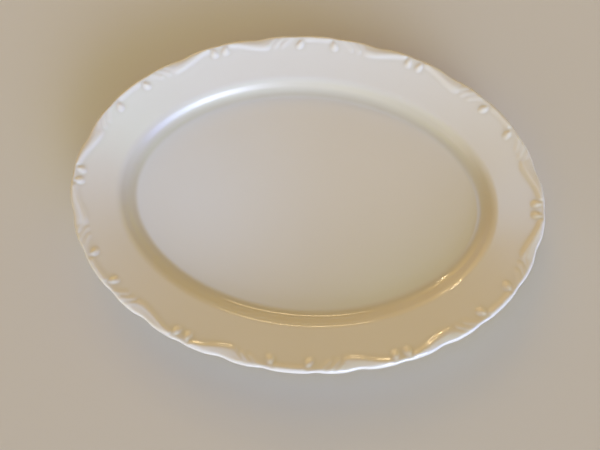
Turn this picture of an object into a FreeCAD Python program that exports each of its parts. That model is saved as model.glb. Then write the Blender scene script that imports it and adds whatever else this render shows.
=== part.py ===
import FreeCAD, Part
import math
import os

# China serving platter: an oval porcelain dish with a scalloped, scroll-moulded border.
#
# Frame: millimetres, +Z up, +X along the oval's long axis. The origin is the centre of the plane
# that the foot ring stands on.
#
# Every surface is a ring of the same kind. A station of the section is (inset, height): inset is
# the distance inwards from the mean edge oval, square to it, and height is z. Carried round the
# oval, a station gives one row of poles, and a list of rows gives a smooth closed surface. Two
# solids that meet share the row along their joint, so they touch face to face with no gap.

# Overall size of the clay body, without its glaze
HALF_LENGTH = 180.2        # centre to mean edge along X
HALF_WIDTH = 132.2         # centre to mean edge along Y

# Section
FOOT_HEIGHT = 2.8          # bearing face to the underside of the well
FOOT_WIDTH = 5.0           # foot ring, measured inwards
FOOT_ROUNDING = 1.1        # radius of the bearing face's two edges
FLOOR_THICKNESS = 4.3
WELL_INSET = 46.5          # mean edge to the edge of the flat floor
COVE_RADIUS = 12.0         # hollow corner between the floor and the wall
WALL_SLOPE = math.radians(52)
SHOULDER_RADIUS = 10.0     # rounded crease between the wall and the flange
UNDER_RADIUS = 7.0         # hollow bend below that crease
CREASE_INSET = 33.3        # mean edge to the crease
FLANGE_SLOPE = math.radians(19.5)
FLANGE_THICKNESS = 3.8     # the lip is a half round of this diameter
GLAZE_THICKNESS = 0.4

# Moulded border: the oval carries six equal motifs, each of two mirrored halves. A half runs from
# its shell axis, where along = 0, to its arch axis, where along = HALF_MOTIF.
MOTIFS = 6
SCALLOP_FADE = 13.0        # inset at which the edge's waves have died away
EDGE_NOTCHES = (           # (along, width, depth) of the dips between the edge's lobes
    (0.0, 4.5, 0.6),
    (31.5, 7.2, 1.35),
    (62.5, 6.5, 0.85),
)
BEADS = (                  # (along, inset, half width, half length, lean, height) of the teardrops
    (4.8, 6.6, 3.9, 4.6, 0.10, 1.2),
    (68.0, 7.6, 4.0, 4.6, 0.22, 1.2),
)
SCROLL_START = 6.5         # along, where the long scroll leaves the first bead
SCROLL_END = 46.0
SCROLL_NEAR = 3.2          # inset of the scroll's crest where it runs closest to the edge
SCROLL_DEEP = 9.0          # inset of the crest at the bottom of its sag
SCROLL_DEEP_AT = 38.0      # along
SCROLL_RETURN = 24.0       # length over which it comes back out
SCROLL_HEIGHT = 1.15
SCROLL_OUTER_FALL = 0.5    # width of the gentle fall towards the edge, as a share of the inset
SCROLL_INNER_FALL = 2.1    # width of the steep fall towards the well
ROLL_SLOPE = 0.45          # how much the rim rolls over, downwards, between the crest and the edge
STROKES = 3                # slanting strokes of the leaf that closes the scroll
STROKE_PITCH = 6.6
STROKE_TIP = (46.8, 2.6)   # (along, inset) of the first stroke's two ends
STROKE_HEEL = (40.2, 9.0)
STROKE_WIDTH = 1.9
STROKE_HEIGHT = 0.45
ARCH_START = 69.5          # along, where the arch leaves the second bead
ARCH_INSET = 3.6
ARCH_HEIGHT = 0.85
ARCH_WIDTH = 1.8
BLEND = 4.0                # how sharply parts of the border that cross keep the higher one

# Fineness of the surfaces
POLES_PER_HALF_MOTIF = 48
COVE_ROWS = 8
WALL_ROWS = 4
SHOULDER_ROWS = 4
FLANGE_ROWS = 20
LIP_ROWS = 7
UNDERSIDE_ROWS = 8
ROUNDING_ROWS = 5
DEGREE = 3

POLES_ROUND = 2 * MOTIFS * POLES_PER_HALF_MOTIF


def edge_length_table(steps=7200):
    """Angle and length travelled round the mean edge oval, from its +X end."""
    table = [(0.0, 0.0)]
    step = 2 * math.pi / steps
    for i in range(steps):
        middle = (i + 0.5) * step
        speed = math.hypot(HALF_LENGTH * math.sin(middle), HALF_WIDTH * math.cos(middle))
        table.append(((i + 1) * step, table[-1][1] + speed * step))
    return table


EDGE_TABLE = edge_length_table()
EDGE_LENGTH = EDGE_TABLE[-1][1]
HALF_MOTIF = EDGE_LENGTH / (2 * MOTIFS)


def evenly_spaced_angles(count):
    """Angles of count points that divide the edge oval into equal lengths."""
    angles = []
    row = 0
    for k in range(count):
        wanted = EDGE_LENGTH * k / count
        while EDGE_TABLE[row + 1][1] < wanted:
            row += 1
        (angle0, length0), (angle1, length1) = EDGE_TABLE[row], EDGE_TABLE[row + 1]
        angles.append(angle0 + (angle1 - angle0) * (wanted - length0) / (length1 - length0))
    return angles


ANGLES = evenly_spaced_angles(POLES_ROUND)


def edge_frame(angle):
    """Point of the mean edge oval at angle, and the unit vector square to it, pointing out."""
    point = FreeCAD.Vector(HALF_LENGTH * math.cos(angle), HALF_WIDTH * math.sin(angle), 0)
    outward = FreeCAD.Vector(HALF_WIDTH * math.cos(angle), HALF_LENGTH * math.sin(angle), 0)
    return point, outward.normalize()


def along_motif(index):
    """Length along the half motif at pole index, folded at the motif's two axes."""
    position = index % (2 * POLES_PER_HALF_MOTIF)
    folded = min(position, 2 * POLES_PER_HALF_MOTIF - position)
    return HALF_MOTIF * folded / POLES_PER_HALF_MOTIF


def bump(offset, width):
    """Smooth hump of height 1 that has died away by about twice its width."""
    return math.exp(-((offset / width) ** 2))


def ease(value):
    """0 below 0, 1 above 1, and a smooth rise between them."""
    value = min(max(value, 0.0), 1.0)
    return value * value * (3 - 2 * value)


def edge_notch(along):
    """How far the edge dips in from its lobes."""
    return sum(depth * bump(along - place, width) for place, width, depth in EDGE_NOTCHES)


def bead(along, inset, spec):
    """One teardrop bead: a leaning dome, a little fuller at its inner end."""
    place, centre, half_width, half_length, lean, height = spec
    radial = (inset - centre) / half_length
    width = half_width * (1 + 0.22 * min(max(radial, -1), 1))
    across = (along - place - lean * (centre - inset)) / width
    return height * max(0.0, 1 - across**2 - radial**2) ** 2


def scroll_crest(along):
    """Inset of the scroll's crest: near the edge, in to its sag, and back out."""
    down = ease((along - SCROLL_START) / (SCROLL_DEEP_AT - SCROLL_START))
    up = ease((along - SCROLL_DEEP_AT) / SCROLL_RETURN)
    return SCROLL_NEAR + (SCROLL_DEEP - SCROLL_NEAR) * (down - up)


def roll(along, inset):
    """How far the rim has rolled over, downwards, at an inset outside the crest."""
    crest = scroll_crest(along)
    return ROLL_SLOPE / 2 * max(0.0, crest - inset) ** 2 / crest


def scroll(along, inset):
    """The long scroll: a ridge with a steep inner side and a long outer one."""
    crest = scroll_crest(along)
    fall = SCROLL_INNER_FALL if inset > crest else SCROLL_OUTER_FALL * crest
    run = ease((along - SCROLL_START) / 3) * ease((SCROLL_END - along) / 9)
    return SCROLL_HEIGHT * run * bump(inset - crest, fall)


def stroke(along, inset, number):
    """One slanting stroke of the leaf: a hump about the line from its tip to its heel."""
    shift = STROKE_PITCH * number
    tip = (STROKE_TIP[0] + shift, STROKE_TIP[1] + 0.15 * number)
    heel = (STROKE_HEEL[0] + shift, STROKE_HEEL[1] - 0.45 * number)
    line = (heel[0] - tip[0], heel[1] - tip[1])
    from_tip = (along - tip[0]) * line[0] + (inset - tip[1]) * line[1]
    share = min(max(from_tip / (line[0] ** 2 + line[1] ** 2), 0), 1)
    distance = math.hypot(along - tip[0] - share * line[0], inset - tip[1] - share * line[1])
    return STROKE_HEIGHT * (0.75 + 0.25 * share) * bump(distance, STROKE_WIDTH)


def arch(along, inset):
    """The arch that joins the second bead to its mirror image."""
    fall = ARCH_WIDTH if inset > ARCH_INSET else 1.4 * ARCH_WIDTH
    return ARCH_HEIGHT * ease((along - ARCH_START) / 4) * bump(inset - ARCH_INSET, fall)


def relief(along, inset):
    """Height of the moulded border above the plain flange, with its parts blended together."""
    parts = [scroll(along, inset), arch(along, inset)]
    parts += [stroke(along, inset, number) for number in range(STROKES)]
    parts += [bead(along, inset, spec) for spec in BEADS]
    return sum(part**BLEND for part in parts) ** (1 / BLEND)


def ring_row(station):
    """Poles of one station carried round the oval.

    A station is (inset, height, moulded), where moulded is the share of the border's relief that
    the row carries.
    """
    inset, height, moulded = station
    wave = max(0.0, 1 - inset / SCALLOP_FADE) ** 2
    poles = []
    for index, angle in enumerate(ANGLES):
        along = along_motif(index)
        point, outward = edge_frame(angle)
        drawn_in = inset + wave * edge_notch(along)
        raised = height - roll(along, inset)
        if moulded:
            raised += moulded * relief(along, inset)
        poles.append(point - outward * drawn_in + FreeCAD.Vector(0, 0, raised))
    return poles


def ring_edge(row):
    """Closed edge along one pole row."""
    curve = Part.BSplineCurve()
    ones = [1] * (POLES_ROUND + 1)
    curve.buildFromPolesMultsKnots(row, ones, list(range(POLES_ROUND + 1)), True, DEGREE)
    curve.setNotPeriodic()
    return curve.toShape()


def ring_face(stations):
    """Face through a list of stations: smooth round the oval and across it."""
    rows = [ring_row(station) for station in stations]
    degree = min(DEGREE, len(rows) - 1)
    spans = len(rows) - degree
    surface = Part.BSplineSurface()
    surface.buildFromPolesMultsKnots(
        [[row[k] for row in rows] for k in range(POLES_ROUND)],
        [1] * (POLES_ROUND + 1),
        [degree + 1] + [1] * (spans - 1) + [degree + 1],
        list(range(POLES_ROUND + 1)),
        list(range(spans + 1)),
        True,
        False,
        DEGREE,
        degree,
    )
    surface.setUNotPeriodic()
    return surface.toShape()


def level_face(outer, inner=None):
    """Flat face inside one level station, or between two of them."""
    wires = [Part.Wire([ring_edge(ring_row(s))]) for s in (outer, inner) if s is not None]
    return Part.Face(wires, "Part::FaceMakerBullseye")


def closed_solid(faces):
    """Solid bounded by faces that share their edges."""
    shell = Part.makeShell(faces)
    shell.sewShape()
    solid = Part.Solid(Part.Shell(shell.Faces))
    if solid.Volume < 0:
        solid.reverse()
    return solid


def arc(centre, radius, start, end, count):
    """Stations along an arc of the section. Angles are from +Z, positive towards the edge."""
    stations = []
    for k in range(count):
        turn = start + (end - start) * k / (count - 1)
        inset = centre[0] - radius * math.sin(turn)
        stations.append((inset, centre[1] + radius * math.cos(turn), 0.0))
    return stations


def straight(first, last, count):
    """Stations evenly spaced between two others, without those two."""
    stations = []
    for k in range(1, count + 1):
        share = k / (count + 1)
        inset = first[0] + (last[0] - first[0]) * share
        stations.append((inset, first[1] + (last[1] - first[1]) * share, 0.0))
    return stations


def pressed(stations):
    """The same stations, carrying the border's relief in full."""
    return [(inset, height, 1.0) for inset, height, _ in stations]


# Places in the section that the dimensions above fix
FLOOR_TOP = FOOT_HEIGHT + FLOOR_THICKNESS
COVE_CENTRE = (WELL_INSET, FLOOR_TOP + COVE_RADIUS)
LIP_RADIUS = FLANGE_THICKNESS / 2
HALF_TURN = (WALL_SLOPE - FLANGE_SLOPE) / 2
SEAM_TURN = (WALL_SLOPE + FLANGE_SLOPE) / 2


def corner_centre(corner, radius):
    """Centre of the arc that rounds a wall-to-flange corner. A positive radius lies below it."""
    reach = radius / math.cos(HALF_TURN)
    return (corner[0] - reach * math.sin(SEAM_TURN), corner[1] - reach * math.cos(SEAM_TURN))


def wall_height(inset, depth):
    """Height, at inset, of the wall's straight line lying depth below its upper face."""
    foot_inset = COVE_CENTRE[0] - COVE_RADIUS * math.sin(WALL_SLOPE)
    foot_height = COVE_CENTRE[1] - COVE_RADIUS * math.cos(WALL_SLOPE)
    climb = (foot_inset - inset) * math.tan(WALL_SLOPE)
    return foot_height + climb - depth / math.cos(WALL_SLOPE)


CREASE = (CREASE_INSET, wall_height(CREASE_INSET, 0))


def flange_height(inset, depth):
    """Height, at inset, of the flange's straight line lying depth below its upper face."""
    climb = (CREASE_INSET - inset) * math.tan(FLANGE_SLOPE)
    return CREASE[1] + climb - depth / math.cos(FLANGE_SLOPE)


def underside_crease():
    """Corner where the lines of the wall's and the flange's undersides cross."""
    wall_drop = FLOOR_THICKNESS / math.cos(WALL_SLOPE)
    flange_drop = FLANGE_THICKNESS / math.cos(FLANGE_SLOPE)
    run = (wall_drop - flange_drop) / (math.tan(WALL_SLOPE) - math.tan(FLANGE_SLOPE))
    inset = CREASE_INSET - run
    return inset, flange_height(inset, FLANGE_THICKNESS)


SHOULDER_CENTRE = corner_centre(CREASE, SHOULDER_RADIUS)
UNDER_CENTRE = corner_centre(underside_crease(), UNDER_RADIUS)
LIP_INSET = LIP_RADIUS * (1 + math.sin(FLANGE_SLOPE))
LIP_CENTRE = (LIP_RADIUS, flange_height(LIP_INSET, 0) - LIP_RADIUS * math.cos(FLANGE_SLOPE))


def wall_upper(coat):
    """Well edge, cove, wall and half the shoulder, coat millimetres above the clay."""
    cove = arc(COVE_CENTRE, COVE_RADIUS - coat, math.pi, math.pi - WALL_SLOPE, COVE_ROWS)
    shoulder = arc(
        SHOULDER_CENTRE, SHOULDER_RADIUS + coat, -WALL_SLOPE, -SEAM_TURN, SHOULDER_ROWS
    )
    return cove + straight(cove[-1], shoulder[0], WALL_ROWS) + shoulder


def flange_upper(coat):
    """Half the shoulder, the moulded flange and the lip's upper quarter."""
    shoulder = arc(
        SHOULDER_CENTRE, SHOULDER_RADIUS + coat, -SEAM_TURN, -FLANGE_SLOPE, SHOULDER_ROWS
    )
    lip = arc(LIP_CENTRE, LIP_RADIUS + coat, -FLANGE_SLOPE, math.pi / 2, LIP_ROWS)
    moulded_lip = [(i, z, (LIP_ROWS - 1 - k) / (LIP_ROWS - 1)) for k, (i, z, _) in enumerate(lip)]
    return shoulder + pressed(straight(shoulder[-1], lip[0], FLANGE_ROWS)) + moulded_lip


def flange_under(coat):
    """The lip's lower quarter, the flange's underside and half the bend below the shoulder."""
    lip = arc(LIP_CENTRE, LIP_RADIUS + coat, math.pi / 2, math.pi - FLANGE_SLOPE, LIP_ROWS)
    bend = arc(UNDER_CENTRE, UNDER_RADIUS - coat, -FLANGE_SLOPE, -SEAM_TURN, SHOULDER_ROWS)
    return lip + straight(lip[-1], bend[0], UNDERSIDE_ROWS) + bend


def wall_under(coat):
    """The rest of that bend, the wall's underside and the outside of the cove."""
    bend = arc(UNDER_CENTRE, UNDER_RADIUS - coat, -SEAM_TURN, -WALL_SLOPE, SHOULDER_ROWS)
    radius = COVE_RADIUS + FLOOR_THICKNESS + coat
    cove = arc(COVE_CENTRE, radius, math.pi - WALL_SLOPE, math.pi, COVE_ROWS)
    return bend + straight(bend[-1], cove[0], WALL_ROWS) + cove


def cap(first, last):
    """Ruled face between two stations."""
    return ring_face([first, last])


def well_floor():
    """Flat oval floor of the well."""
    top = (WELL_INSET, FLOOR_TOP, 0.0)
    bottom = (WELL_INSET, FOOT_HEIGHT, 0.0)
    return closed_solid([level_face(top), cap(top, bottom), level_face(bottom)])


def cavetto_wall():
    """Curved wall that lifts the flange above the floor."""
    upper, under = wall_upper(0), wall_under(0)
    faces = [ring_face(upper), cap(upper[-1], under[0]), ring_face(under), cap(under[-1], upper[0])]
    return closed_solid(faces)


def flange():
    """Broad sloping rim with the scalloped lip and the moulded border."""
    upper, under = flange_upper(0), flange_under(0)
    return closed_solid([ring_face(upper), ring_face(under), cap(under[-1], upper[0])])


def foot_ring():
    """Low oval ring below the edge of the floor, with a flat bearing face."""
    radius = FOOT_ROUNDING
    inner_inset = WELL_INSET + FOOT_WIDTH
    outer_top = (WELL_INSET, FOOT_HEIGHT, 0.0)
    inner_top = (inner_inset, FOOT_HEIGHT, 0.0)
    outer = arc((WELL_INSET + radius, radius), radius, math.pi / 2, math.pi, ROUNDING_ROWS)
    inner = arc((inner_inset - radius, radius), radius, math.pi, 1.5 * math.pi, ROUNDING_ROWS)
    outer_side = [outer_top] + straight(outer_top, outer[0], 2) + outer
    inner_side = inner + straight(inner[-1], inner_top, 2) + [inner_top]
    return closed_solid([
        ring_face(outer_side),
        level_face(outer[-1], inner[0]),
        ring_face(inner_side),
        level_face(outer_top, inner_top),
    ])


def upper_glaze():
    """Glass coat over the well, the wall and the flange, out to the lip's outermost line."""
    faces = []
    for coat in (0, GLAZE_THICKNESS):
        wall = wall_upper(coat)
        faces += [level_face(wall[0]), ring_face(wall), ring_face(flange_upper(coat))]
    faces.append(cap(flange_upper(0)[-1], flange_upper(GLAZE_THICKNESS)[-1]))
    return closed_solid(faces)


def underside_glaze():
    """Glass coat from the lip's outermost line, down the underside to the foot ring."""
    faces = []
    for coat in (0, GLAZE_THICKNESS):
        faces += [ring_face(flange_under(coat)), ring_face(wall_under(coat))]
    faces.append(cap(flange_under(0)[0], flange_under(GLAZE_THICKNESS)[0]))
    faces.append(cap(wall_under(0)[-1], wall_under(GLAZE_THICKNESS)[-1]))
    return closed_solid(faces)


def recess_glaze():
    """Glass coat on the flat underside that the foot ring encloses."""
    top = (WELL_INSET + FOOT_WIDTH, FOOT_HEIGHT, 0.0)
    bottom = (WELL_INSET + FOOT_WIDTH, FOOT_HEIGHT - GLAZE_THICKNESS, 0.0)
    return closed_solid([level_face(top), cap(top, bottom), level_face(bottom)])


PIECES = (
    well_floor,
    cavetto_wall,
    flange,
    foot_ring,
    upper_glaze,
    underside_glaze,
    recess_glaze,
)

os.makedirs("parts", exist_ok=True)
for piece in PIECES:
    solid = piece()
    solid.exportStep(f"parts/{piece.__name__}.step")
    box = solid.BoundBox
    print(
        f"{piece.__name__}: {solid.Volume / 1000:.1f} cm3, valid {solid.isValid()},"
        f" closed {solid.isClosed()}, {box.XLength:.1f} x {box.YLength:.1f} mm,"
        f" z {box.ZMin:.2f} to {box.ZMax:.2f}"
    )
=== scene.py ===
# Looks of the china serving platter: the glaze with its moulded border, the clay and the studio.
#
# Lengths are millimetres in the platter's frame until a mesh is made, where MM turns them to
# metres. Every skin of glaze is one surface of two parameters. The first runs round the rim's
# edge oval in equal steps. The second runs across the section, whose stations are pairs of
# (inset, height): inset is the distance inwards from the edge oval, square to it, and height is z.

import logging
import math
from collections.abc import Sequence
from dataclasses import dataclass
from enum import Enum

import bpy
import numpy as np
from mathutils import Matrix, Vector

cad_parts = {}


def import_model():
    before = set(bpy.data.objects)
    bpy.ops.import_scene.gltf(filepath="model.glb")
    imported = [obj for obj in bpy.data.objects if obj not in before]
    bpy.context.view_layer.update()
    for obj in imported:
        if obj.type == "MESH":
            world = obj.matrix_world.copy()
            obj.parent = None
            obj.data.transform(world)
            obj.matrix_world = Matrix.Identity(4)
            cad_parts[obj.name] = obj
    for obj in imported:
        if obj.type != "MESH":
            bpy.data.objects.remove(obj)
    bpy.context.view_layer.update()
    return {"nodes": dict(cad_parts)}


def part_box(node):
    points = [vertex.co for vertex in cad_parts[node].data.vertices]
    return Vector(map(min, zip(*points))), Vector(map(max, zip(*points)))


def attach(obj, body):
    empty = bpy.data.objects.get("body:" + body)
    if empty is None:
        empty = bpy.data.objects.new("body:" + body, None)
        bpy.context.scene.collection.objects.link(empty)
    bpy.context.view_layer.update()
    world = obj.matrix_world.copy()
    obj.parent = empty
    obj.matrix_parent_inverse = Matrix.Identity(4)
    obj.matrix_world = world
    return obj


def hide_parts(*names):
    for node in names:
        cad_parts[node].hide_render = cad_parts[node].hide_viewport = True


MM = 0.001
BODY = "root"

log = logging.getLogger("platter")

Stations = np.ndarray  # one row per station: inset, height, share of the border's relief
Grid = np.ndarray  # stations x columns x 3 points, in millimetres


class Slot(Enum):
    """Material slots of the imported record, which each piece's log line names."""

    GLAZE = "glaze"
    CLAY = "clay_body"
    FOOT = "bare_foot"


def linear_colour(code: str) -> tuple[float, float, float, float]:
    """Turns an sRGB hex code to linear colour.

    Args:
        code: Six hex digits after a hash.

    Returns:
        Linear red, green and blue, and an alpha of 1.
    """
    channels = [int(code[i : i + 2], 16) / 255 for i in (1, 3, 5)]
    linear = [c / 12.92 if c <= 0.04045 else ((c + 0.055) / 1.055) ** 2.4 for c in channels]
    return (*linear, 1.0)


def ease(value: np.ndarray) -> np.ndarray:
    """Gives 0 below 0, 1 above 1, and a smooth rise between them."""
    value = np.clip(value, 0.0, 1.0)
    return value * value * (3 - 2 * value)


def bump(offset: np.ndarray, width: float | np.ndarray) -> np.ndarray:
    """Gives a hump of height 1 that falls off as a bell curve of the given width."""
    return np.exp(-((offset / width) ** 2))


@dataclass(frozen=True)
class EdgeOval:
    """The ellipse through the middle of the rim's waves, stepped in equal lengths.

    Args:
        half_length: Centre to edge along X.
        half_width: Centre to edge along Y.
        motifs: Equal motifs of the border round the oval.
        columns_per_half: Columns of the surface in half a motif.
    """

    half_length: float
    half_width: float
    motifs: int = 6
    columns_per_half: int = 80

    @property
    def columns(self) -> int:
        """Columns all the way round."""
        return 2 * self.motifs * self.columns_per_half

    def angles(self) -> np.ndarray:
        """Finds the ellipse angles that divide its edge into equal lengths.

        Returns:
            One angle per column, from the +X end.
        """
        fine = np.linspace(0, 2 * math.pi, 20001)
        speed = np.hypot(self.half_length * np.sin(fine), self.half_width * np.cos(fine))
        steps = (speed[1:] + speed[:-1]) / 2 * np.diff(fine)
        travelled = np.concatenate([[0.0], np.cumsum(steps)])
        wanted = travelled[-1] * np.arange(self.columns) / self.columns
        return np.interp(wanted, travelled, fine)

    def perimeter(self) -> float:
        """Works out the length of the edge by Ramanujan's formula.

        Returns:
            The length.
        """
        a, b = self.half_length, self.half_width
        spread = 3 * ((a - b) / (a + b)) ** 2
        return math.pi * (a + b) * (1 + spread / (10 + math.sqrt(4 - spread)))

    def along(self) -> np.ndarray:
        """Gives each column's length along its half motif, folded at the motif's two axes.

        Returns:
            One length per column.
        """
        half = self.columns_per_half
        position = np.arange(self.columns) % (2 * half)
        folded = np.minimum(position, 2 * half - position)
        return self.perimeter() / (2 * self.motifs) * folded / half

    def carry(self, insets: np.ndarray, heights: np.ndarray) -> Grid:
        """Moves inwards from the oval, square to it, and up.

        Args:
            insets: Stations x columns, distance inwards.
            heights: Stations x columns, z.

        Returns:
            The points.
        """
        angles = self.angles()
        across, up = np.cos(angles), np.sin(angles)
        outward = np.stack([self.half_width * across, self.half_length * up], -1)
        outward /= np.linalg.norm(outward, axis=-1, keepdims=True)
        edge = np.stack([self.half_length * across, self.half_width * up], -1)
        level = edge[None] - insets[..., None] * outward[None]
        return np.concatenate([level, heights[..., None]], -1)


@dataclass(frozen=True)
class ScrollBorder:
    """Moulded border of the flange, as the height of its relief over half a motif.

    A half motif runs from its shell axis, where along = 0, to its arch axis. Its parts are a
    teardrop bead, a long scroll that sags inwards from the edge, a leaf of slanting strokes that
    closes the scroll, a second bead, and an arch to the next half motif.

    Args:
        notches: Place along, width and depth of each dip in the edge.
        notch_fade: Inset at which the dips have faded out.
        beads: Place along, inset, half width, half length, lean and height of each bead.
        bead_swell: How much wider than its middle a bead is at its inner end, as a share.
        scroll_start: Where the scroll begins.
        scroll_end: Where it ends.
        scroll_ease: Lengths over which it rises from the flange and sinks back.
        scroll_near: Inset of its crest where it is nearest to the edge.
        scroll_deep: Inset of its crest where it sags most.
        scroll_deep_at: Where that is.
        scroll_return: Length over which the crest comes back out.
        scroll_height: Height of its crest.
        scroll_falls: Width of its outer side as a share of the crest's inset, and of its inner.
        roll_slope: Slope of the rolled rim at the edge.
        strokes: Number of strokes in the leaf.
        stroke_pitch: Distance between them.
        stroke_tip: Place along and inset of the first one's tip.
        stroke_heel: Place along and inset of the first one's heel.
        stroke_spread: How far inwards each next one's tip and heel lie.
        stroke_width: Width of a stroke.
        stroke_height: Height at the heel.
        stroke_low: Height at the tip, as a share of that at the heel.
        arch_start: Where the arch begins.
        arch_ease: Length over which it rises.
        arch_inset: Inset of its crest.
        arch_height: Height of its crest.
        arch_falls: Widths of its outer and inner sides.
        blend: Power with which parts that cross blend.
    """

    notches: tuple[tuple[float, float, float], ...] = (
        (0.0, 4.5, 0.6),
        (31.5, 7.2, 1.35),
        (62.5, 6.5, 0.85),
    )
    notch_fade: float = 13.0
    beads: tuple[tuple[float, float, float, float, float, float], ...] = (
        (4.8, 6.6, 3.9, 4.6, 0.10, 1.2),
        (68.0, 7.6, 4.0, 4.6, 0.22, 1.2),
    )
    bead_swell: float = 0.22
    scroll_start: float = 6.5
    scroll_end: float = 46.0
    scroll_ease: tuple[float, float] = (3.0, 9.0)
    scroll_near: float = 3.2
    scroll_deep: float = 9.0
    scroll_deep_at: float = 38.0
    scroll_return: float = 24.0
    scroll_height: float = 0.94
    scroll_falls: tuple[float, float] = (0.5, 2.1)
    roll_slope: float = 0.45
    strokes: int = 3
    stroke_pitch: float = 6.6
    stroke_tip: tuple[float, float] = (46.8, 2.6)
    stroke_heel: tuple[float, float] = (40.2, 9.0)
    stroke_spread: tuple[float, float] = (0.15, -0.45)
    stroke_width: float = 1.9
    stroke_height: float = 0.45
    stroke_low: float = 0.75
    arch_start: float = 69.5
    arch_ease: float = 4.0
    arch_inset: float = 3.6
    arch_height: float = 0.70
    arch_falls: tuple[float, float] = (2.52, 1.8)
    blend: float = 4.0

    def edge_notch(self, along: np.ndarray) -> np.ndarray:
        """Gives how far the edge dips in from its lobes: a sum of bell-shaped notches."""
        return sum(depth * bump(along - place, width) for place, width, depth in self.notches)

    def bead(self, along: np.ndarray, inset: np.ndarray, spec: Sequence[float]) -> np.ndarray:
        """Gives one teardrop: a smooth hump, leaning, that is fuller at its inner end.

        With across and radial as shares of its half width and half length, the hump is the square
        of 1 - across squared - radial squared, and 0 outside.

        Args:
            along: Length along the half motif.
            inset: Distance inwards from the edge.
            spec: Place along, inset, half width, half length, lean and height.

        Returns:
            Height of the bead.
        """
        place, centre, half_width, half_length, lean, height = spec
        radial = (inset - centre) / half_length
        width = half_width * (1 + self.bead_swell * np.clip(radial, -1, 1))
        across = (along - place - lean * (centre - inset)) / width
        return height * np.clip(1 - across**2 - radial**2, 0, 1) ** 2

    def scroll_crest(self, along: np.ndarray) -> np.ndarray:
        """Gives the inset of the scroll's crest: near the edge, in to its sag, and back out.

        Args:
            along: Length along the half motif.

        Returns:
            The inset: two smooth steps between scroll_near and scroll_deep.
        """
        down = ease((along - self.scroll_start) / (self.scroll_deep_at - self.scroll_start))
        up = ease((along - self.scroll_deep_at) / self.scroll_return)
        return self.scroll_near + (self.scroll_deep - self.scroll_near) * (down - up)

    def roll(self, along: np.ndarray, inset: np.ndarray) -> np.ndarray:
        """Gives how far the rim rolls over, downwards, outside the crest.

        Args:
            along: Length along the half motif.
            inset: Distance inwards from the edge.

        Returns:
            The drop: a parabola that starts at the crest and reaches roll_slope at the edge.
        """
        crest = self.scroll_crest(along)
        return self.roll_slope / 2 * np.clip(crest - inset, 0, None) ** 2 / crest

    def scroll(self, along: np.ndarray, inset: np.ndarray) -> np.ndarray:
        """Gives the long scroll: a ridge with a steep inner side and a long outer one.

        Args:
            along: Length along the half motif.
            inset: Distance inwards from the edge.

        Returns:
            Height of the scroll: a bell curve of the distance from its crest, times its rise at
            the start and its fall at the end.
        """
        crest = self.scroll_crest(along)
        outer, inner = self.scroll_falls
        fall = np.where(inset > crest, inner, outer * crest)
        rise, sink = self.scroll_ease
        run = ease((along - self.scroll_start) / rise) * ease((self.scroll_end - along) / sink)
        return self.scroll_height * run * bump(inset - crest, fall)

    def stroke(self, along: np.ndarray, inset: np.ndarray, number: int) -> np.ndarray:
        """Gives one slanting stroke of the leaf.

        The hump is a bell curve of the distance to the line from the stroke's tip, near the
        edge, to its heel.

        Args:
            along: Length along the half motif.
            inset: Distance inwards from the edge.
            number: Which stroke, from 0.

        Returns:
            Height of the stroke.
        """
        shift = self.stroke_pitch * number
        tip = np.array(self.stroke_tip) + (shift, self.stroke_spread[0] * number)
        heel = np.array(self.stroke_heel) + (shift, self.stroke_spread[1] * number)
        line = heel - tip
        from_tip = (along - tip[0]) * line[0] + (inset - tip[1]) * line[1]
        share = np.clip(from_tip / (line @ line), 0, 1)
        distance = np.hypot(along - tip[0] - share * line[0], inset - tip[1] - share * line[1])
        height = self.stroke_height * (self.stroke_low + (1 - self.stroke_low) * share)
        return height * bump(distance, self.stroke_width)

    def arch(self, along: np.ndarray, inset: np.ndarray) -> np.ndarray:
        """Gives the arch that joins the second bead to its mirror image.

        Args:
            along: Length along the half motif.
            inset: Distance inwards from the edge.

        Returns:
            Height of the arch: a bell curve of the distance from its crest, times its rise.
        """
        rise = ease((along - self.arch_start) / self.arch_ease)
        outer, inner = self.arch_falls
        fall = np.where(inset > self.arch_inset, inner, outer)
        return self.arch_height * rise * bump(inset - self.arch_inset, fall)

    def relief(self, along: np.ndarray, inset: np.ndarray) -> np.ndarray:
        """Gives the border's whole relief above the plain flange.

        Args:
            along: Length along the half motif.
            inset: Distance inwards from the edge.

        Returns:
            Height in millimetres. Parts that cross blend into the higher of the two: the result
            is the root of the sum of their heights, each to the power of blend.
        """
        parts = [self.scroll(along, inset), self.arch(along, inset)]
        parts += [self.stroke(along, inset, number) for number in range(self.strokes)]
        parts += [self.bead(along, inset, spec) for spec in self.beads]
        return sum(part**self.blend for part in parts) ** (1 / self.blend)


def arc(
    centre: tuple[float, float], radius: float, start: float, end: float, count: int
) -> Stations:
    """Gives stations along an arc of the section.

    Args:
        centre: Inset and height of the arc's centre.
        radius: Its radius.
        start: First angle from +Z, positive towards the edge.
        end: Last angle.
        count: Number of stations, both ends among them.

    Returns:
        The stations, with no relief.
    """
    turn = np.linspace(start, end, count)
    places = [centre[0] - radius * np.sin(turn), centre[1] + radius * np.cos(turn), 0 * turn]
    return np.stack(places, -1)


def straight(first: np.ndarray, last: np.ndarray, count: int) -> Stations:
    """Gives stations evenly spaced between two others, without those two."""
    share = np.linspace(0, 1, count + 2)[1:-1, None]
    return first + (last - first) * share


@dataclass(frozen=True)
class Rows:
    """How many stations each stretch of the section gets."""

    floor: int
    wall: int
    bend: int
    flange: int
    lip: int
    under: int = 9


SHOWN = Rows(floor=5, wall=3, bend=10, flange=42, lip=11)
HIDDEN = Rows(floor=1, wall=2, bend=4, flange=6, lip=5)


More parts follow.
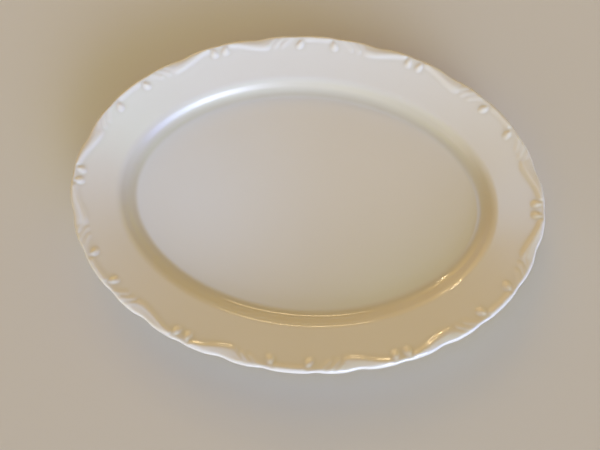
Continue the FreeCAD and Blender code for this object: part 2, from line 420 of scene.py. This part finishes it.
@dataclass(frozen=True)
class Section:
    """Section of the platter, square to its edge: flat floor, cove, wall, shoulder, flange, lip.

    The dimensions are those of the clay. A skin of glaze follows it at a distance, coat.

    Args:
        floor_top: Height of the well's floor.
        foot_height: Height of the foot ring.
        well_inset: Inset of the flat floor's edge.
        foot_width: Width of the foot ring.
        cove_radius: Radius of the bend from the floor up to the wall.
        wall_slope: Slope of the wall.
        shoulder_radius: Radius of the crease between the wall and the flange.
        under_radius: Radius of the hollow bend below that crease.
        crease_inset: Inset of the corner that the crease rounds.
        flange_slope: Slope of the flange.
        flange_thickness: Thickness of the flange.
        lip_seam: Angle from +Z, round the lip, where the upper coat meets the lower one.
    """

    floor_top: float
    foot_height: float
    well_inset: float = 46.5
    foot_width: float = 5.0
    cove_radius: float = 12.0
    wall_slope: float = math.radians(52)
    shoulder_radius: float = 10.0
    under_radius: float = 7.0
    crease_inset: float = 33.3
    flange_slope: float = math.radians(19.5)
    flange_thickness: float = 3.8
    lip_seam: float = math.radians(140)

    @property
    def lip_radius(self) -> float:
        """The lip is a half round as thick as the flange."""
        return self.flange_thickness / 2

    @property
    def seam_turn(self) -> float:
        """Angle from +Z of the shoulder's middle."""
        return (self.wall_slope + self.flange_slope) / 2

    @property
    def cove_centre(self) -> tuple[float, float]:
        """Centre of the cove's arc, above the edge of the flat floor."""
        return self.well_inset, self.floor_top + self.cove_radius

    def wall_height(self, inset: float, depth: float) -> float:
        """Follows the wall's straight line.

        Args:
            inset: Distance inwards from the edge.
            depth: Distance below the wall's upper face.

        Returns:
            The height there.
        """
        foot_inset = self.well_inset - self.cove_radius * math.sin(self.wall_slope)
        foot_height = self.cove_centre[1] - self.cove_radius * math.cos(self.wall_slope)
        climb = (foot_inset - inset) * math.tan(self.wall_slope)
        return foot_height + climb - depth / math.cos(self.wall_slope)

    def flange_height(self, inset: float, depth: float) -> float:
        """Follows the flange's straight line.

        Args:
            inset: Distance inwards from the edge.
            depth: Distance below the flange's upper face.

        Returns:
            The height there.
        """
        climb = (self.crease_inset - inset) * math.tan(self.flange_slope)
        top = self.wall_height(self.crease_inset, 0)
        return top + climb - depth / math.cos(self.flange_slope)

    def corner_centre(self, corner: tuple[float, float], radius: float) -> tuple[float, float]:
        """Finds the arc that rounds a corner between the wall and the flange, from below.

        Args:
            corner: Inset and height of the corner.
            radius: Radius of the arc.

        Returns:
            Inset and height of the arc's centre.
        """
        reach = radius / math.cos((self.wall_slope - self.flange_slope) / 2)
        across, up = math.sin(self.seam_turn), math.cos(self.seam_turn)
        return corner[0] - reach * across, corner[1] - reach * up

    def shoulder_centre(self) -> tuple[float, float]:
        """Centre of the rounded crease between the wall and the flange."""
        corner = (self.crease_inset, self.wall_height(self.crease_inset, 0))
        return self.corner_centre(corner, self.shoulder_radius)

    def under_centre(self) -> tuple[float, float]:
        """Finds the hollow bend below that crease, where the two undersides cross.

        Returns:
            Inset and height of its centre.
        """
        wall_drop = (self.floor_top - self.foot_height) / math.cos(self.wall_slope)
        flange_drop = self.flange_thickness / math.cos(self.flange_slope)
        steeper = math.tan(self.wall_slope) - math.tan(self.flange_slope)
        inset = self.crease_inset - (wall_drop - flange_drop) / steeper
        corner = (inset, self.flange_height(inset, self.flange_thickness))
        return self.corner_centre(corner, self.under_radius)

    def lip_centre(self) -> tuple[float, float]:
        """Finds the centre of the lip's half round.

        Returns:
            Its inset and height.
        """
        tangent_inset = self.lip_radius * (1 + math.sin(self.flange_slope))
        drop = self.lip_radius * math.cos(self.flange_slope)
        return self.lip_radius, self.flange_height(tangent_inset, 0) - drop

    def upper(self, coat: float, rows: Rows) -> Stations:
        """Follows the upper side from the floor's edge out round the lip to its seam.

        Args:
            coat: Distance above the clay.
            rows: How many stations each stretch gets.

        Returns:
            The stations. The relief fades out round the lip.
        """
        cove_turns = math.pi, math.pi - self.wall_slope
        cove = arc(self.cove_centre, self.cove_radius - coat, *cove_turns, rows.bend)
        turns = -self.wall_slope, -self.flange_slope
        shoulder = arc(self.shoulder_centre(), self.shoulder_radius + coat, *turns, rows.bend)
        lip = arc(self.lip_centre(), self.lip_radius + coat, turns[1], self.lip_seam, rows.lip)
        lip[:, 2] = np.clip(np.linspace(1.0, -0.6, len(lip)), 0, 1)
        flange = straight(shoulder[-1], lip[0], rows.flange)
        flange[:, 2] = 1.0
        wall = straight(cove[-1], shoulder[0], rows.wall)
        return np.concatenate([cove, wall, shoulder, flange, lip])

    def under(self, coat: float, rows: Rows) -> Stations:
        """Follows the underside from the lip's seam in to the flat below the floor.

        Args:
            coat: Distance outside the clay.
            rows: How many stations each stretch gets.

        Returns:
            The stations.
        """
        radius = self.lip_radius + coat
        lip_turns = self.lip_seam, math.pi - self.flange_slope
        lip = arc(self.lip_centre(), radius, *lip_turns, rows.wall)
        turns = -self.flange_slope, -self.wall_slope
        bend = arc(self.under_centre(), self.under_radius - coat, *turns, rows.bend)
        radius = self.cove_centre[1] - self.foot_height + coat
        cove = arc(self.cove_centre, radius, math.pi - self.wall_slope, math.pi, rows.bend)
        flange = straight(lip[-1], bend[0], rows.under)
        wall = straight(bend[-1], cove[0], rows.wall)
        return np.concatenate([lip, flange, bend, wall, cove])


def solid_mesh(
    name: str, grid: Grid, poles: tuple[float, float] | None = None
) -> bpy.types.Object:
    """Makes a closed mesh from rows of points that each run round the oval.

    The rows close into a tube ring, or, where poles are given, into a lens whose first and last
    rows are filled by fans from the middle. Faces are turned so that the volume is positive.

    Args:
        name: Name of the piece.
        grid: Rows x columns x 3 points, in millimetres.
        poles: Heights of the two middle points, if the first and last rows are filled.

    Returns:
        The object, at the origin, with its place in its mesh.
    """
    rows, columns = grid.shape[:2]
    points = grid.reshape(-1, 3) * MM
    index = np.arange(rows * columns).reshape(rows, columns)
    if poles is None:
        index = np.concatenate([index, index[:1]])
    near, far = index[:-1], index[1:]
    quads = np.stack([near, np.roll(near, -1, 1), np.roll(far, -1, 1), far], -1).reshape(-1, 4)
    fans = np.zeros((0, 3), int)
    if poles is not None:
        points = np.concatenate([points, [[0, 0, poles[0] * MM], [0, 0, poles[1] * MM]]])
        first, last = index[0], index[-1]
        top, bottom = np.full(columns, len(points) - 2), np.full(columns, len(points) - 1)
        fans = np.concatenate([
            np.stack([np.roll(first, -1), first, top], -1),
            np.stack([last, np.roll(last, -1), bottom], -1),
        ])
    triangles = np.concatenate([quads[:, [0, 1, 2]], quads[:, [0, 2, 3]], fans])
    corners = points[triangles]
    volume = np.einsum("ij,ij->i", corners[:, 0], np.cross(corners[:, 1], corners[:, 2])).sum()
    if volume < 0:
        quads, fans = quads[:, ::-1], fans[:, ::-1]
    mesh = bpy.data.meshes.new(name)
    mesh.from_pydata(points.tolist(), [], quads.tolist() + fans.tolist())
    mesh.polygons.foreach_set("use_smooth", np.ones(len(mesh.polygons), bool))
    mesh.set_sharp_from_angle(angle=math.radians(40))
    piece = bpy.data.objects.new(name, mesh)
    bpy.context.scene.collection.objects.link(piece)
    return piece


def add_node(
    tree: bpy.types.NodeTree,
    kind: str,
    inputs: dict[str | int, object] | None = None,
    **settings: object,
) -> bpy.types.Node:
    """Adds one node with its settings and links.

    Args:
        tree: Node tree that gets the node.
        kind: The node's type name.
        inputs: For each input, a value, or an output socket to link from.
        **settings: The node's own properties, such as operation.

    Returns:
        The new node.
    """
    node = tree.nodes.new(kind)
    for key, value in settings.items():
        setattr(node, key, value)
    for key, value in (inputs or {}).items():
        if isinstance(value, bpy.types.NodeSocket):
            tree.links.new(value, node.inputs[key])
        else:
            node.inputs[key].default_value = value
    return node


def new_material(name: str) -> tuple[bpy.types.Material, bpy.types.NodeTree, bpy.types.Node]:
    """Makes an empty node material.

    Args:
        name: Name of the material.

    Returns:
        The material, its tree and its output node.
    """
    material = bpy.data.materials.new(name)
    material.use_nodes = True
    tree = material.node_tree
    tree.nodes.clear()
    return material, tree, add_node(tree, "ShaderNodeOutputMaterial")


def ramp(
    tree: bpy.types.NodeTree,
    factor: bpy.types.NodeSocket,
    stops: Sequence[tuple[float, Sequence[float]]],
) -> bpy.types.NodeSocket:
    """Adds a colour ramp.

    Args:
        tree: Node tree that gets the node.
        factor: Socket that drives it.
        stops: Pairs of position and linear colour.

    Returns:
        The ramp's colour socket.
    """
    node = add_node(tree, "ShaderNodeValToRGB", {"Fac": factor})
    elements = node.color_ramp.elements
    for element, (position, colour) in zip(elements, (stops[0], stops[-1])):
        element.position = position
        element.color = colour
    for position, colour in stops[1:-1]:
        elements.new(position).color = colour
    return node.outputs["Color"]


@dataclass(frozen=True)
class PorcelainGlaze:
    """Clear feldspar glaze, fired to a gloss over white porcelain.

    The eye sees a nearly white body through a hard wet-looking surface. Its colour carries painted
    shade, a little greyer in the hollows of the moulding and down the wall, and a painted
    highlight, a lighter white on the crests. The surface is never dead flat: it has a slow ripple
    from the pressing and a fine orange peel from the firing.

    Args:
        name: Name of the material.
        body: Colour on level ground.
        painted_highlight_colour: Painted highlight, the colour on the crests.
        painted_shade_colour: Painted shade, the colour in the hollows and down the wall.
        tints: Shares of painted shade at which the three colours stand, the highlight's first.
        roughness: Roughness of the gloss.
        gloss_range: Roughness where the clouds are palest and darkest, as shares of roughness.
        cloud_range: Values of the clouds between which the gloss changes.
        cloud_mm: Size of the soft clouds in the tint.
        cloud_share: How much they shift the tint.
        ior: Refractive index of feldspar glass.
        ripple_mm: Length of the ripple.
        ripple_height_mm: Height of the ripple.
        peel_mm: Length of the orange peel.
        peel_height_mm: Height of the orange peel.
    """

    name: str = "porcelain_glaze"
    body: str = "#E9E6E1"
    painted_highlight_colour: str = "#EFEBE3"
    painted_shade_colour: str = "#D8D3C6"
    tints: tuple[float, float, float] = (0.25, 0.56, 1.0)
    roughness: float = 0.045
    gloss_range: tuple[float, float] = (0.8, 1.35)
    cloud_range: tuple[float, float] = (0.3, 0.7)
    cloud_mm: float = 70.0
    cloud_share: float = 0.12
    ior: float = 1.5
    ripple_mm: float = 26.0
    ripple_height_mm: float = 0.10
    peel_mm: float = 1.6
    peel_height_mm: float = 0.004

    def build(self) -> bpy.types.Material:
        """Builds the material.

        Returns:
            A material that reads Object coordinates and the mesh's own attribute that holds the
            share
        of painted shade.
        """
        material, tree, output = new_material(self.name)
        place = add_node(tree, "ShaderNodeTexCoord").outputs["Object"]
        cloud = add_node(
            tree,
            "ShaderNodeTexNoise",
            {"Vector": place, "Scale": 1 / (self.cloud_mm * MM), "Detail": 3.0},
        )
        # Painted shade and highlight: the mesh's share, plus the random clouds, moves the colour
        # towards grey in hollows and down the wall and towards a lighter white on crests.
        painted_shade_share = add_node(tree, "ShaderNodeAttribute", attribute_name="painted_shade_share")
        cloud_and_painted_shade = add_node(
            tree,
            "ShaderNodeMath",
            {0: cloud.outputs["Fac"], 1: self.cloud_share, 2: painted_shade_share.outputs["Fac"]},
            operation="MULTIPLY_ADD",
        )
        colours = [linear_colour(code) for code in (self.painted_highlight_colour, self.body, self.painted_shade_colour)]
        colour = ramp(tree, cloud_and_painted_shade.outputs[0], list(zip(self.tints, colours)))
        ripple, peel = (
            add_node(tree, "ShaderNodeTexNoise", {"Vector": place, "Scale": 1 / (length * MM)})
            for length in (self.ripple_mm, self.peel_mm)
        )
        slow = add_node(
            tree,
            "ShaderNodeBump",
            {"Height": ripple.outputs["Fac"], "Distance": self.ripple_height_mm * MM},
        )
        fine = add_node(
            tree,
            "ShaderNodeBump",
            {
                "Height": peel.outputs["Fac"],
                "Distance": self.peel_height_mm * MM,
                "Normal": slow.outputs["Normal"],
            },
        )
        glossiest, dullest = (self.roughness * share for share in self.gloss_range)
        low, high = self.cloud_range
        wear = add_node(
            tree,
            "ShaderNodeMapRange",
            {"Value": cloud.outputs["Fac"], 1: low, 2: high, 3: glossiest, 4: dullest},
        )
        shader = add_node(
            tree,
            "ShaderNodeBsdfPrincipled",
            {
                "Base Color": colour,
                "Roughness": wear.outputs["Result"],
                "IOR": self.ior,
                "Normal": fine.outputs["Normal"],
            },
        )
        tree.links.new(shader.outputs["BSDF"], output.inputs["Surface"])
        return material


@dataclass(frozen=True)
class FiredClay:
    """Bare porcelain biscuit: fired, ground on the foot, and never glazed.

    It looks chalk-matt and slightly warmer than the glaze, with a fine sugary grain. Where it
    stands on the table it has picked up grey.

    Args:
        name: Name of the material.
        body: Colour of the clean clay.
        scuffed: Colour of the smudges.
        smudge_range: Values of the smudge pattern at which the two colours stand.
        smudge_mm: Size of the smudges.
        roughness: Roughness of the unglazed face.
        grain_mm: Size of the grain.
        grain_height_mm: Height of the grain.
    """

    name: str = "porcelain_biscuit"
    body: str = "#DCD4C6"
    scuffed: str = "#B3AA9B"
    smudge_range: tuple[float, float] = (0.42, 0.72)
    smudge_mm: float = 9.0
    roughness: float = 0.78
    grain_mm: float = 0.5
    grain_height_mm: float = 0.05

    def build(self) -> bpy.types.Material:
        """Builds the material.

        Returns:
            A material that reads Object coordinates.
        """
        material, tree, output = new_material(self.name)
        place = add_node(tree, "ShaderNodeTexCoord").outputs["Object"]
        smudge = add_node(
            tree,
            "ShaderNodeTexNoise",
            {"Vector": place, "Scale": 1 / (self.smudge_mm * MM), "Detail": 6.0},
        )
        grain = add_node(
            tree, "ShaderNodeTexNoise", {"Vector": place, "Scale": 1 / (self.grain_mm * MM)}
        )
        colours = [linear_colour(code) for code in (self.body, self.scuffed)]
        colour = ramp(tree, smudge.outputs["Fac"], list(zip(self.smudge_range, colours)))
        bumps = add_node(
            tree,
            "ShaderNodeBump",
            {"Height": grain.outputs["Fac"], "Distance": self.grain_height_mm * MM},
        )
        shader = add_node(
            tree,
            "ShaderNodeBsdfPrincipled",
            {
                "Base Color": colour,
                "Roughness": self.roughness,
                "Normal": bumps.outputs["Normal"],
            },
        )
        tree.links.new(shader.outputs["BSDF"], output.inputs["Surface"])
        return material


WANDER_HEIGHT = 0.02
WANDER_WAVES = ((15.1, 31.0, 0.7), (23.7, -17.3, 2.1), (41.0, 19.0, 4.0))


def hand_unevenness(grid: Grid, share: np.ndarray) -> Grid:
    """Lets a skin wander as pressed and fired clay does.

    Height changes by a sum of three crossed sine waves, 85 to 110 mm long and a few hundredths
    of a millimetre high. A wave is the sine of x over its first length, plus y over its second,
    plus its phase.

    Args:
        grid: Rows x columns x 3 points.
        share: How much of the wander each row gets.

    Returns:
        The moved points.
    """
    x, y = grid[..., 0], grid[..., 1]
    wave = sum(np.sin(x / along + y / up + phase) for along, up, phase in WANDER_WAVES)
    moved = grid.copy()
    moved[..., 2] += WANDER_HEIGHT * wave * share[:, None]
    return moved


def floor_rows(edge: np.ndarray, count: int) -> Grid:
    """Fills a level edge row with smaller copies of itself.

    Each copy is the edge drawn towards the middle by an even share, at the same height.

    Args:
        edge: Columns x 3 points.
        count: Number of copies.

    Returns:
        The copies from the innermost out, without the edge.
    """
    shares = np.linspace(0, 1, count + 2)[1:-1, None]
    copies = np.repeat(edge[None], count, 0)
    copies[..., :2] *= shares[..., None]
    return copies


@dataclass
class GlazeCoat:
    """What the three skins of glaze share: the form that they follow and how they are dressed.

    Args:
        oval: Edge oval that the section is carried round.
        section: Section of the clay.
        border: Moulded relief of the flange.
        finish: Material.
        thickness: Thickness of the coat.
    """

    oval: EdgeOval
    section: Section
    border: ScrollBorder
    finish: bpy.types.Material
    thickness: float = 0.38

    def skin(self, stations: Stations) -> Grid:
        """Carries stations round the oval, with the edge's waves and the relief.

        Each point lies at its station's inset plus the edge notch, which fades inwards, and at its
        station's height plus the relief at that place, less the roll of the rim.

        Args:
            stations: Stations of the section.

        Returns:
            One row of points per station.
        """
        along = self.oval.along()[None]
        inset, height, share = (stations[:, k, None] for k in range(3))
        fade = np.clip(1 - inset / self.border.notch_fade, 0, None) ** 2
        drawn_in = inset + fade * self.border.edge_notch(along)
        moulded = share * self.border.relief(along, inset)
        return self.oval.carry(drawn_in, height + moulded - self.border.roll(along, inset))

    def dress(self, piece: bpy.types.Object, *nodes: str) -> bpy.types.Object:
        """Gives a skin its material, its body and the CAD nodes that it stands for.

        Args:
            piece: The skin.
            *nodes: CAD nodes that it replaces.

        Returns:
            The same piece.
        """
        piece.data.materials.append(self.finish)
        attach(piece, BODY)
        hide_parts(*nodes)
        report(piece, Slot.GLAZE)
        return piece


@dataclass
class UpperGlaze(GlazeCoat):
    """Glass coat over the well, the wall, the moulded flange and round the lip.

    Args:
        reach: Rows and columns to each side that a hollow is compared with.
        full_shade_depth: Depth of a hollow that gets the darkest painted shade.
        wall_shade_start: How far above the crease the painted shade down the wall begins, and its
            blend length.
        wall_shade_fade: Length over which the painted shade down the wall ends at the floor's
            edge.
        wander_insets: Inset at which the unevenness begins, and its blend length.
    """

    reach: int = 4
    full_shade_depth: float = 0.8
    wall_shade_start: tuple[float, float] = (3.0, 7.0)
    wall_shade_fade: float = 5.0
    wander_insets: tuple[float, float] = (10.0, 12.0)

    def painted_shade_map(self, stations: Stations) -> np.ndarray:
        """Works out where molten glaze pools and where it drains.

        The relief is compared with its average over the neighbouring rows and columns. The share
        is 0.5 on level ground, more in hollows and on the wall, where it paints shade, and less on
        crests, where it paints a highlight.

        Args:
            stations: Stations of the shown side.

        Returns:
            Rows x columns shares from 0 to 1.
        """
        along = self.oval.along()[None]
        relief = stations[:, 2, None] * self.border.relief(along, stations[:, 0, None])
        padded = np.pad(relief, ((self.reach, self.reach), (0, 0)), mode="edge")
        smooth = np.zeros_like(relief)
        for step in range(-self.reach, self.reach + 1):
            smooth += padded[self.reach + step : self.reach + step + len(relief)]
        wide = sum(np.roll(smooth, step, 1) for step in range(-self.reach, self.reach + 1))
        average = wide / (2 * self.reach + 1) ** 2
        hollow = np.clip((average - relief) / self.full_shade_depth, -1, 1)
        inset = stations[:, 0, None]
        above, blend = self.wall_shade_start
        down_wall = ease((inset - self.section.crease_inset + above) / blend)
        off_floor = ease((self.section.well_inset - inset) / self.wall_shade_fade)
        return 0.5 + 0.5 * np.clip(hollow + down_wall * off_floor, -1, 1)

    def build(self) -> bpy.types.Object:
        """Builds the coat as a closed skin with a point attribute that holds the share of painted
        shade.

        Returns:
            The piece.
        """
        stations = self.section.upper(self.thickness, SHOWN)
        shown = self.skin(stations)
        shown = np.concatenate([floor_rows(shown[0], SHOWN.floor), shown])
        floor_insets = np.full(SHOWN.floor, self.section.well_inset)
        insets = np.concatenate([floor_insets, stations[:, 0]])
        begin, blend = self.wander_insets
        shown = hand_unevenness(shown, ease((insets - begin) / blend))
        back = self.section.upper(0.0, HIDDEN)[::-1]
        back[:, 2] = 0.0
        hidden = self.skin(back)
        hidden = np.concatenate([hidden, floor_rows(hidden[-1], HIDDEN.floor)[::-1]])
        middles = (self.section.floor_top + self.thickness, self.section.floor_top)
        piece = solid_mesh("upper_glaze_coat", np.concatenate([shown, hidden]), middles)
        # Painted shade: the shares darken hollows and the wall and lighten crests; the floor and
        # the hidden side stay at the level 0.5.
        painted_shade_share = np.full(len(piece.data.vertices), 0.5)
        start = SHOWN.floor * self.oval.columns
        shares = self.painted_shade_map(stations).ravel()
        painted_shade_share[start : start + len(shares)] = shares
        piece.data.attributes.new("painted_shade_share", "FLOAT", "POINT").data.foreach_set("value", painted_shade_share)
        return self.dress(piece, "upper_glaze")


@dataclass
class FootGlaze(GlazeCoat):
    """What the two coats that end on the foot ring share.

    Args:
        bare_height: Height below which the foot is bare clay.
        fillet: Radius of the glaze's hollow between the foot and the underside.
        fillet_rows: Stations round the hollow.
        bead_rows: Stations round the bead of glaze above the bare clay.
    """

    bare_height: float = 1.0
    fillet: float = 1.3
    fillet_rows: int = 7
    bead_rows: int = 4


@dataclass
class UndersideGlaze(FootGlaze):
    """Glass coat from the lip's seam down the underside and over the outside of the foot."""

    def build(self) -> bpy.types.Object:
        """Builds the coat as a closed skin that ends in a rounded bead above the bearing face.

        Returns:
            The piece.
        """
        section, coat = self.section, self.thickness
        outer = section.under(coat, SHOWN)
        side = section.well_inset - coat
        hollow_top = section.foot_height - coat
        outer = outer[outer[:, 0] < side - self.fillet]
        centre = (side - self.fillet, hollow_top - self.fillet)
        hollow = arc(centre, self.fillet, 0, -math.pi / 2, self.fillet_rows)
        bead_centre = (side + coat, self.bare_height)
        bead = arc(bead_centre, coat, math.pi / 2, math.pi, self.bead_rows)
        inner = section.under(0.0, HIDDEN)[::-1]
        grid = self.skin(np.concatenate([outer, hollow, bead, inner]))
        return self.dress(solid_mesh("underside_glaze_coat", grid), "underside_glaze")


@dataclass
class RecessGlaze(FootGlaze):
    """Glass coat on the flat underside inside the foot ring, and down the ring's inner side."""

    def build(self) -> bpy.types.Object:
        """Builds the coat as a closed dish-shaped skin.

        Returns:
            The piece.
        """
        section, coat = self.section, self.thickness
        side = section.well_inset + section.foot_width
        top = section.foot_height
        bead = arc((side, self.bare_height), coat, -math.pi, -math.pi / 2, self.bead_rows)
        centre = (side + coat + self.fillet, top - coat - self.fillet)
        hollow = arc(centre, self.fillet, math.pi / 2, 0, self.fillet_rows)
        back = np.array([[side, top, 0.0]])
        rim = self.skin(np.concatenate([back, bead, hollow]))
        shown = floor_rows(rim[-1], SHOWN.floor)[::-1]
        hidden = floor_rows(rim[0], HIDDEN.floor)
        grid = np.concatenate([hidden, rim, shown])
        piece = solid_mesh("recess_glaze_coat", grid, (top, top - coat))
        return self.dress(piece, "recess_glaze")


def report(piece: bpy.types.Object, slot: Slot) -> None:
    """Logs a piece's name, slot, size and faces."""
    size = [round(length / MM, 1) for length in piece.dimensions]
    log.info("%s (%s): %s mm, %d faces", piece.name, slot.value, size, len(piece.data.polygons))


@dataclass
class ClayBody:
    """The four regions of the fired clay, which the CAD model holds in their true shape.

    Args:
        nodes: The frame's objects by node name.
        finish: Material.
        regions: Node name and slot of each region.
    """

    nodes: dict[str, bpy.types.Object]
    finish: bpy.types.Material
    regions: tuple[tuple[str, Slot], ...] = (
        ("well_floor", Slot.CLAY),
        ("cavetto_wall", Slot.CLAY),
        ("flange", Slot.CLAY),
        ("foot_ring", Slot.FOOT),
    )

    def dress(self) -> None:
        """Gives each region the bare clay's material."""
        for name, slot in self.regions:
            region = self.nodes[name]
            region.data.materials.clear()
            region.data.materials.append(self.finish)
            report(region, slot)


@dataclass(frozen=True)
class SoftLight:
    """An oval lamp aimed at a point.

    Args:
        name: Name of the light.
        place: Position in metres.
        size: Width and height in metres.
        power: Watts.
        colour: sRGB hex.
        aim: Point that it faces, in metres.
    """

    name: str
    place: tuple[float, float, float]
    size: tuple[float, float]
    power: float
    colour: str
    aim: tuple[float, float, float] = (0.0, 0.0, 0.02)

    def build(self) -> bpy.types.Object:
        """Builds the light and turns it to face its aim.

        Returns:
            The light.
        """
        data = bpy.data.lights.new(self.name, "AREA")
        data.shape = "ELLIPSE"
        data.size, data.size_y = self.size
        data.energy = self.power
        data.color = linear_colour(self.colour)[:3]
        light = bpy.data.objects.new(self.name, data)
        light.location = self.place
        towards = Vector(self.aim) - Vector(self.place)
        light.rotation_euler = towards.to_track_quat("-Z", "Y").to_euler()
        bpy.context.scene.collection.objects.link(light)
        return light


@dataclass(frozen=True)
class Glow:
    """A soft bright region of the room, as seen from the platter.

    Its brightness is its strength times a power of the cosine of the angle from its middle.

    Args:
        name: What it stands for.
        turn: Bearing of its middle from +X, in degrees.
        climb: Height of its middle above the horizon, in degrees.
        power: The power. A greater one makes it smaller: 20 is about 30 degrees wide, 90 about 14.
        strength: Brightness at its middle.
        colour: sRGB hex.
    """

    name: str
    turn: float
    climb: float
    power: float
    strength: float
    colour: str

    def add(
        self,
        tree: bpy.types.NodeTree,
        view: bpy.types.NodeSocket,
        total: bpy.types.NodeSocket | tuple[float, float, float],
    ) -> bpy.types.NodeSocket:
        """Adds the glow to a total.

        Args:
            tree: Node tree of the world.
            view: Direction that is looked in.
            total: Colour of the glows before it.

        Returns:
            The new total.
        """
        turn, climb = math.radians(self.turn), math.radians(self.climb)
        level = math.cos(climb)
        middle = (level * math.cos(turn), level * math.sin(turn), math.sin(climb))
        cosine = add_node(
            tree, "ShaderNodeVectorMath", {0: view, 1: middle}, operation="DOT_PRODUCT"
        )
        ahead = add_node(
            tree, "ShaderNodeMath", {0: cosine.outputs["Value"], 1: 0.0}, operation="MAXIMUM"
        )
        fall = add_node(
            tree, "ShaderNodeMath", {0: ahead.outputs[0], 1: self.power}, operation="POWER"
        )
        light = [self.strength * channel for channel in linear_colour(self.colour)[:3]]
        added = add_node(
            tree,
            "ShaderNodeVectorMath",
            {0: fall.outputs[0], 1: light, 2: total},
            operation="MULTIPLY_ADD",
        )
        return added.outputs["Vector"]


@dataclass
class Studio:
    """Pale floor, soft lights and the camera that looks down on the platter.

    Args:
        camera_place: Camera position in metres.
        camera_turn: Camera Euler angles in degrees.
        lens_mm: Focal length on a 36 mm wide sensor.
        floor_size: Side of the floor in metres.
        floor_colour: Floor's sRGB hex.
        backdrop_colour: Backdrop's sRGB hex.
        glows: The room's soft light.
        lights: The lamps.
    """

    camera_place: tuple[float, float, float] = (0.0125, -0.1016, 0.3808)
    camera_turn: tuple[float, float, float] = (12.186, 1.146, 4.920)
    lens_mm: float = 29.1
    floor_size: float = 4.0
    floor_colour: str = "#DAD6D0"
    backdrop_colour: str = "#CFC7BA"
    glows: tuple[Glow, ...] = ()
    lights: tuple[SoftLight, ...] = ()

    def floor(self) -> bpy.types.Object:
        """Builds the floor as a flat sheet at z = 0.

        Returns:
            The floor.
        """
        half = self.floor_size / 2
        mesh = bpy.data.meshes.new("studio_floor")
        corners = [(-half, -half, 0), (half, -half, 0), (half, half, 0), (-half, half, 0)]
        mesh.from_pydata(corners, [], [(0, 1, 2, 3)])
        floor = bpy.data.objects.new("studio_floor", mesh)
        bpy.context.scene.collection.objects.link(floor)
        material, tree, output = new_material("studio_floor")
        shader = add_node(
            tree,
            "ShaderNodeBsdfPrincipled",
            {"Base Color": linear_colour(self.floor_colour), "Roughness": 0.9},
        )
        tree.links.new(shader.outputs["BSDF"], output.inputs["Surface"])
        mesh.materials.append(material)
        return floor

    def camera(self) -> bpy.types.Object:
        """Builds the camera and makes it the scene's own.

        Returns:
            The camera.
        """
        data = bpy.data.cameras.new("camera")
        data.lens = self.lens_mm
        data.sensor_width = 36.0
        data.clip_start = 0.01
        camera = bpy.data.objects.new("camera", data)
        camera.location = self.camera_place
        camera.rotation_euler = [math.radians(angle) for angle in self.camera_turn]
        bpy.context.scene.collection.objects.link(camera)
        bpy.context.scene.camera = camera
        return camera

    def air(self) -> None:
        """Fills the surroundings with the glows, added together, behind a plain pale backdrop.

        The glows light the platter and show in its gloss. Looked at directly, the surroundings are
        the backdrop's one colour, as paper hung behind the table would be.
        """
        world = bpy.data.worlds.new("studio_air")
        world.use_nodes = True
        tree = world.node_tree
        view = add_node(tree, "ShaderNodeTexCoord").outputs["Generated"]
        total = (0.0, 0.0, 0.0)
        for glow in self.glows:
            total = glow.add(tree, view, total)
        seen = add_node(tree, "ShaderNodeLightPath").outputs["Is Camera Ray"]
        paper = add_node(
            tree,
            "ShaderNodeMix",
            {0: seen, 6: total, 7: linear_colour(self.backdrop_colour)},
            data_type="RGBA",
        )
        tree.links.new(paper.outputs[2], tree.nodes["Background"].inputs["Color"])
        bpy.context.scene.world = world

    def build(self) -> None:
        """Builds the camera, the floor, the air and the lights, and sets plain colours."""
        scene = bpy.context.scene
        scene.view_settings.view_transform = "Standard"
        scene.view_settings.look = "None"
        scene.cycles.use_denoising = True
        self.camera()
        self.floor()
        self.air()
        for light in self.lights:
            light.build()


ROOM_GLOWS = (
    Glow("wood_all_round", 0, 90, 0, 0.25, "#FFB02C"),
    Glow("window", -57, 4, 20, 12.8, "#BCD6FF"),
    Glow("window_pane", -67, 10, 50, 11.0, "#DEE8FF"),
    Glow("window_left", -138, 2, 30, 3.4, "#FFF2DC"),
    Glow("sky", -38, 14, 40, 2.7, "#2038FF"),
    Glow("near_side", -70, 38, 30, 1.3, "#C6FFE3"),
    Glow("lamp_near", -100, 10, 40, 1.1, "#FFF18A"),
    Glow("lamp_near_left", -130, 38, 30, 1.1, "#FFF64A"),
    Glow("ceiling", 140, 69, 40, 3.3, "#84BCFF"),
    Glow("overhead", -10, 76, 60, 1.4, "#B0FFDC"),
    Glow("wood_far", 120, 20, 20, 2.3, "#FFD679"),
    Glow("wood_right", 50, 20, 20, 0.94, "#FFFF62"),
)

LAMPS = (
    SoftLight("lamp_far", (-0.06, 1.76, 0.94), (0.32, 0.14), 1.6, "#FFE0B0"),
    SoftLight("lamp_left", (-0.43, 1.42, 1.34), (0.1, 0.04), 0.7, "#FFE6C0"),
    SoftLight("lamp_left_middle", (-0.57, 1.56, 1.12), (0.1, 0.03), 0.8, "#FFDDAA"),
    SoftLight("lamp_left_low", (-0.56, 1.71, 0.88), (0.1, 0.03), 0.7, "#FFDDAA"),
)


def platter_form() -> tuple[EdgeOval, Section]:
    """Works out the form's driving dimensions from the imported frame.

    Returns:
        The edge oval and the section of the clay.
    """
    floor_low, floor_high = (np.array(corner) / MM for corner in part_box("well_floor"))
    section = Section(floor_top=floor_high[2], foot_height=floor_low[2])
    oval = EdgeOval(floor_high[0] + section.well_inset, floor_high[1] + section.well_inset)
    return oval, section


def main() -> None:
    """Builds the platter around the frame, then the studio."""
    logging.basicConfig(level=logging.INFO, format="%(name)s: %(message)s")
    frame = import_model()
    oval, section = platter_form()
    border = ScrollBorder()
    glaze = PorcelainGlaze().build()
    for coat in (UpperGlaze, UndersideGlaze, RecessGlaze):
        coat(oval, section, border, glaze).build()
    ClayBody(frame["nodes"], FiredClay().build()).dress()
    Studio(glows=ROOM_GLOWS, lights=LAMPS).build()


if __name__ == "__main__":
    main()
